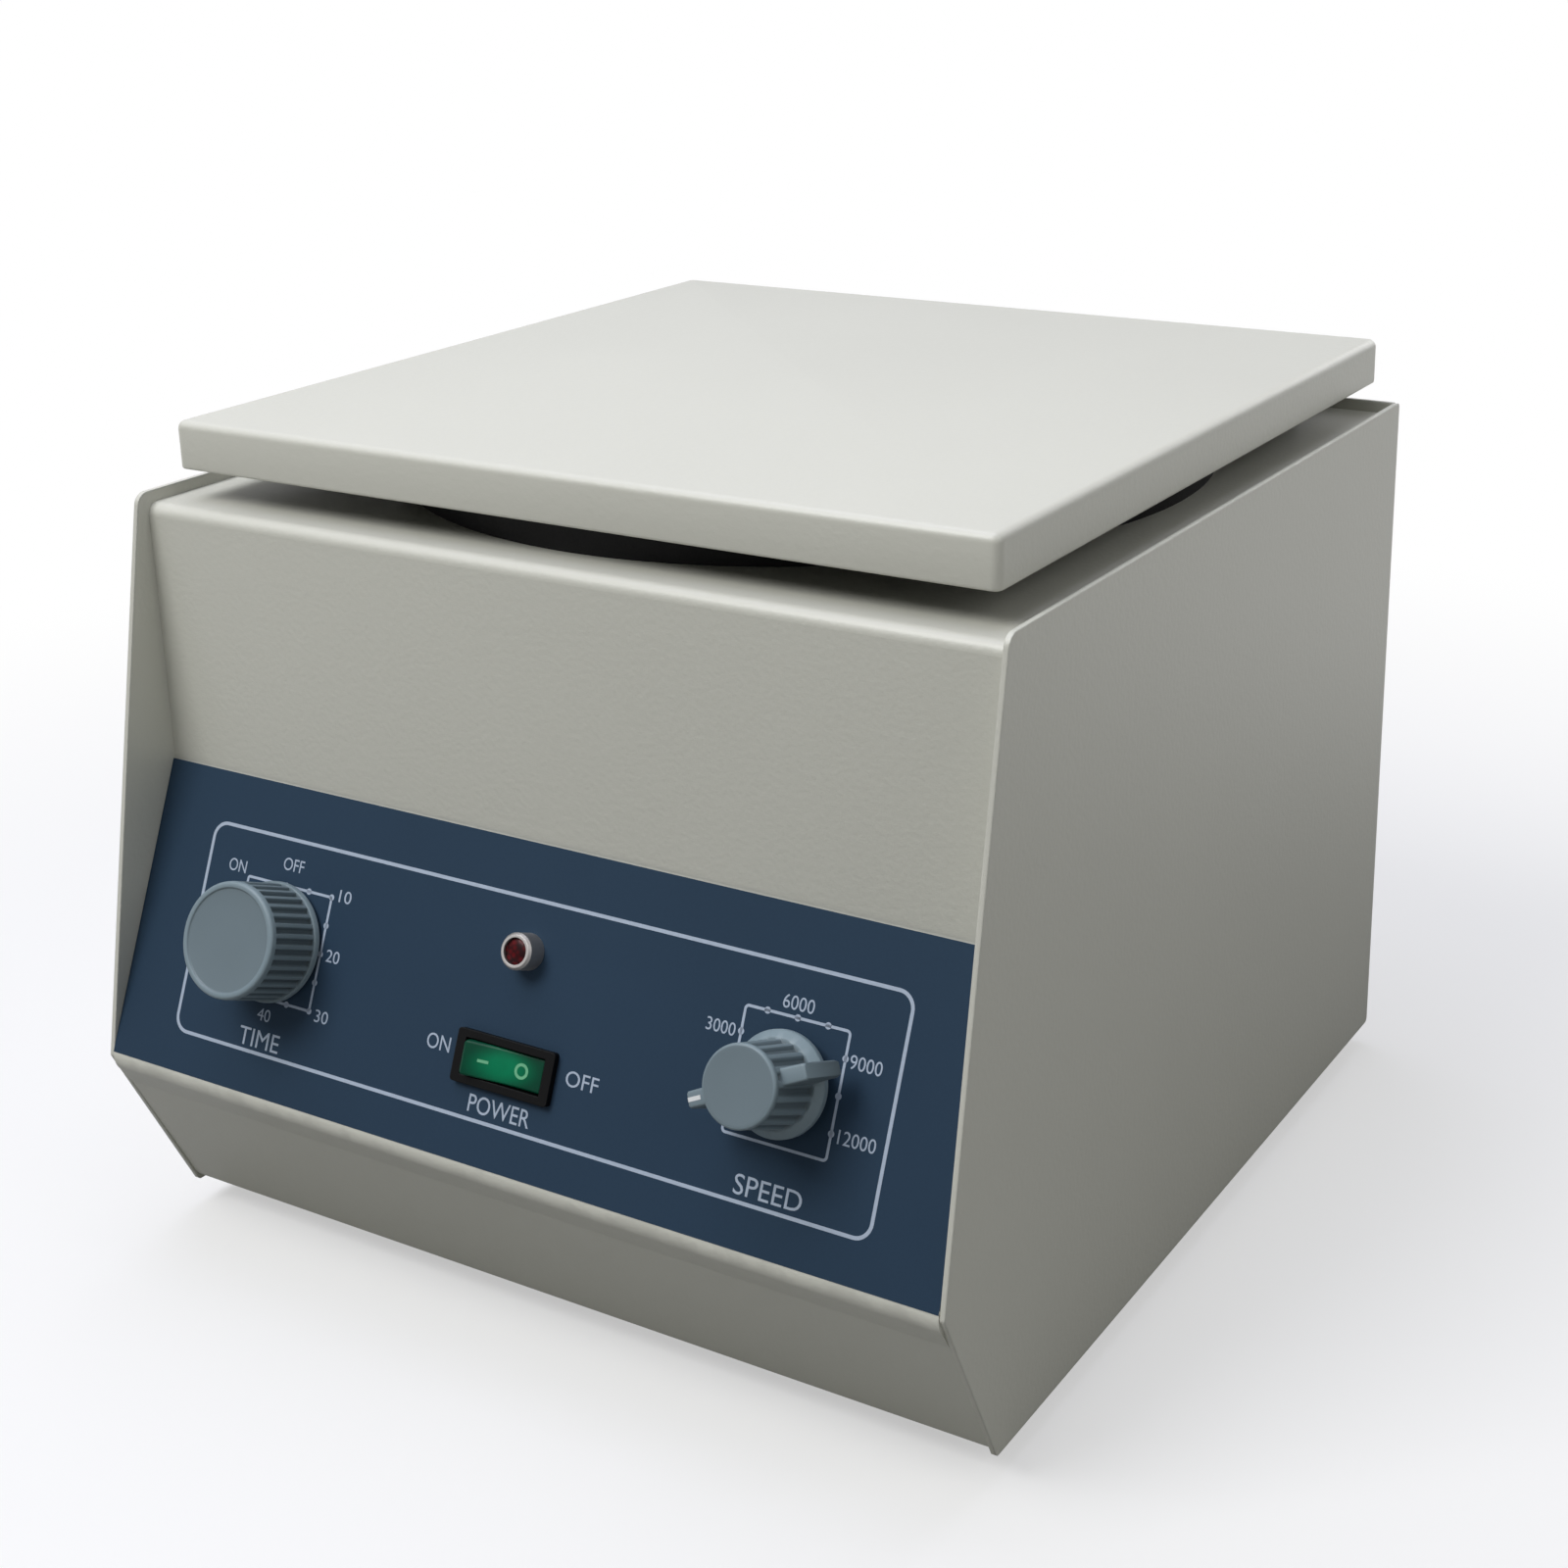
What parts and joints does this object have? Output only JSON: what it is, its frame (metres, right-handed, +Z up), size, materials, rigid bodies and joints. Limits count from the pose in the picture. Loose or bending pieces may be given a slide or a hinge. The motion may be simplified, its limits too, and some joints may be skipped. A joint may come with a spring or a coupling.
{
  "type": "hematocrit centrifuge",
  "caption": "Bench-top capillary centrifuge: folded sheet case with a hinged lid over a round rotor chamber, and a sloped control panel with a timer, a speed knob, a lamp and a rocker.",
  "frame": {"origin": "centre of the bounding box in plan, on the bench under the rubber feet", "axes": "+X to the right seen from the control panel, +Y from the control panel to the rear, +Z up"},
  "size_m": [0.28, 0.3204, 0.246],
  "materials": {
    "painted_grey": "light warm grey enamel, semi-gloss",
    "liner_grey": "pale grey enamel, satin",
    "overlay_navy": "printed film, satin",
    "black_rubber": "matt moulded rubber",
    "zinc_steel": "bright zinc plate",
    "bowl_steel": "spun, lightly brushed",
    "motor_paint": "black stove enamel",
    "motor_alloy": "as cast",
    "core_steel": "stacked laminations",
    "copper": "varnished windings",
    "ground_steel": "ground",
    "brush_brown": "moulded phenolic",
    "rotor_aluminium": "turned, fine lathe marks",
    "moulded_black": "moulded, satin",
    "knob_grey": "moulded, satin",
    "rocker_green": "translucent moulded",
    "lamp_chrome": "polished",
    "lens_red": "translucent moulded",
    "board_green": "varnished laminate",
    "sink_black": "black anodised"
  },
  "bodies": {
    "case": {"left_side_plate": "painted_grey", "right_side_plate": "painted_grey", "front_top_cover": "painted_grey", "rear_panel": "painted_grey", "base_plate": "painted_grey", "control_overlay": "overlay_navy", "rubber_feet": "black_rubber", "foot_screws": "zinc_steel", "base_screws": "zinc_steel", "rear_screws": "zinc_steel", "chamber_bowl": "bowl_steel", "chamber_seal": "black_rubber", "shaft_seal": "black_rubber", "motor_housing": "motor_paint", "motor_end_cap": "motor_alloy", "motor_stator": "core_steel", "motor_plate": "motor_paint", "motor_dampers": "black_rubber", "motor_screws": "zinc_steel", "upper_bearing": "ground_steel", "lower_bearing": "ground_steel", "brush_holders": "brush_brown", "hinge_case_leaves": "zinc_steel", "hinge_pins": "zinc_steel", "hinge_case_screws": "zinc_steel", "timer_body": "moulded_black", "timer_nut": "zinc_steel", "speed_pot": "moulded_black", "pot_nut": "zinc_steel", "switch_housing": "moulded_black", "lamp_bezel": "lamp_chrome", "lamp_lens": "lens_red", "lamp_nut": "zinc_steel", "mains_inlet": "moulded_black", "inlet_screws": "zinc_steel", "fuse_holder": "moulded_black", "control_board": "board_green", "board_standoffs": "zinc_steel", "heat_sink": "sink_black"},
    "lid": {"lid_shell": "painted_grey", "lid_liner": "liner_grey", "hinge_lid_leaves": "zinc_steel", "hinge_lid_screws": "zinc_steel"},
    "rotor": {"motor_armature": "copper", "motor_shaft": "ground_steel", "rotor_head": "rotor_aluminium", "rotor_rim_seal": "black_rubber", "rotor_cover": "rotor_aluminium"},
    "clamp": {"clamp_knob": "moulded_black"},
    "time_control": {"time_knob": "knob_grey", "timer_spindle": "ground_steel"},
    "speed_control": {"speed_knob": "knob_grey", "pot_spindle": "ground_steel"},
    "rocker": {"rocker": "rocker_green"}
  },
  "joints": [
    {"name": "lid_hinge", "type": "hinge", "parent": "case", "child": "lid", "pos_m": [0, 0.1542, 0.229], "axis": [-1, 0, 0], "range_deg": [0, 100]},
    {"name": "rotor_spin", "type": "hinge", "parent": "case", "child": "rotor", "pos_m": [0, 0.0212, 0.168], "axis": [0, 0, 1], "continuous": true},
    {"name": "clamp_turn", "type": "hinge", "parent": "rotor", "child": "clamp", "pos_m": [0, 0.0212, 0.188], "axis": [0, 0, 1], "continuous": true},
    {"name": "timer_turn", "type": "hinge", "parent": "case", "child": "time_control", "pos_m": [-0.086, -0.13371, 0.1042], "axis": [0, 0.9156, -0.402], "range_deg": [-45, 270]},
    {"name": "speed_turn", "type": "hinge", "parent": "case", "child": "speed_control", "pos_m": [0.086, -0.13371, 0.1042], "axis": [0, 0.9156, -0.402], "range_deg": [0, 230]},
    {"name": "rocker_tilt", "type": "hinge", "parent": "case", "child": "rocker", "pos_m": [0.001, -0.13994, 0.09001], "axis": [0, -0.402, -0.9156], "range_deg": [0, 18]}
  ]
}
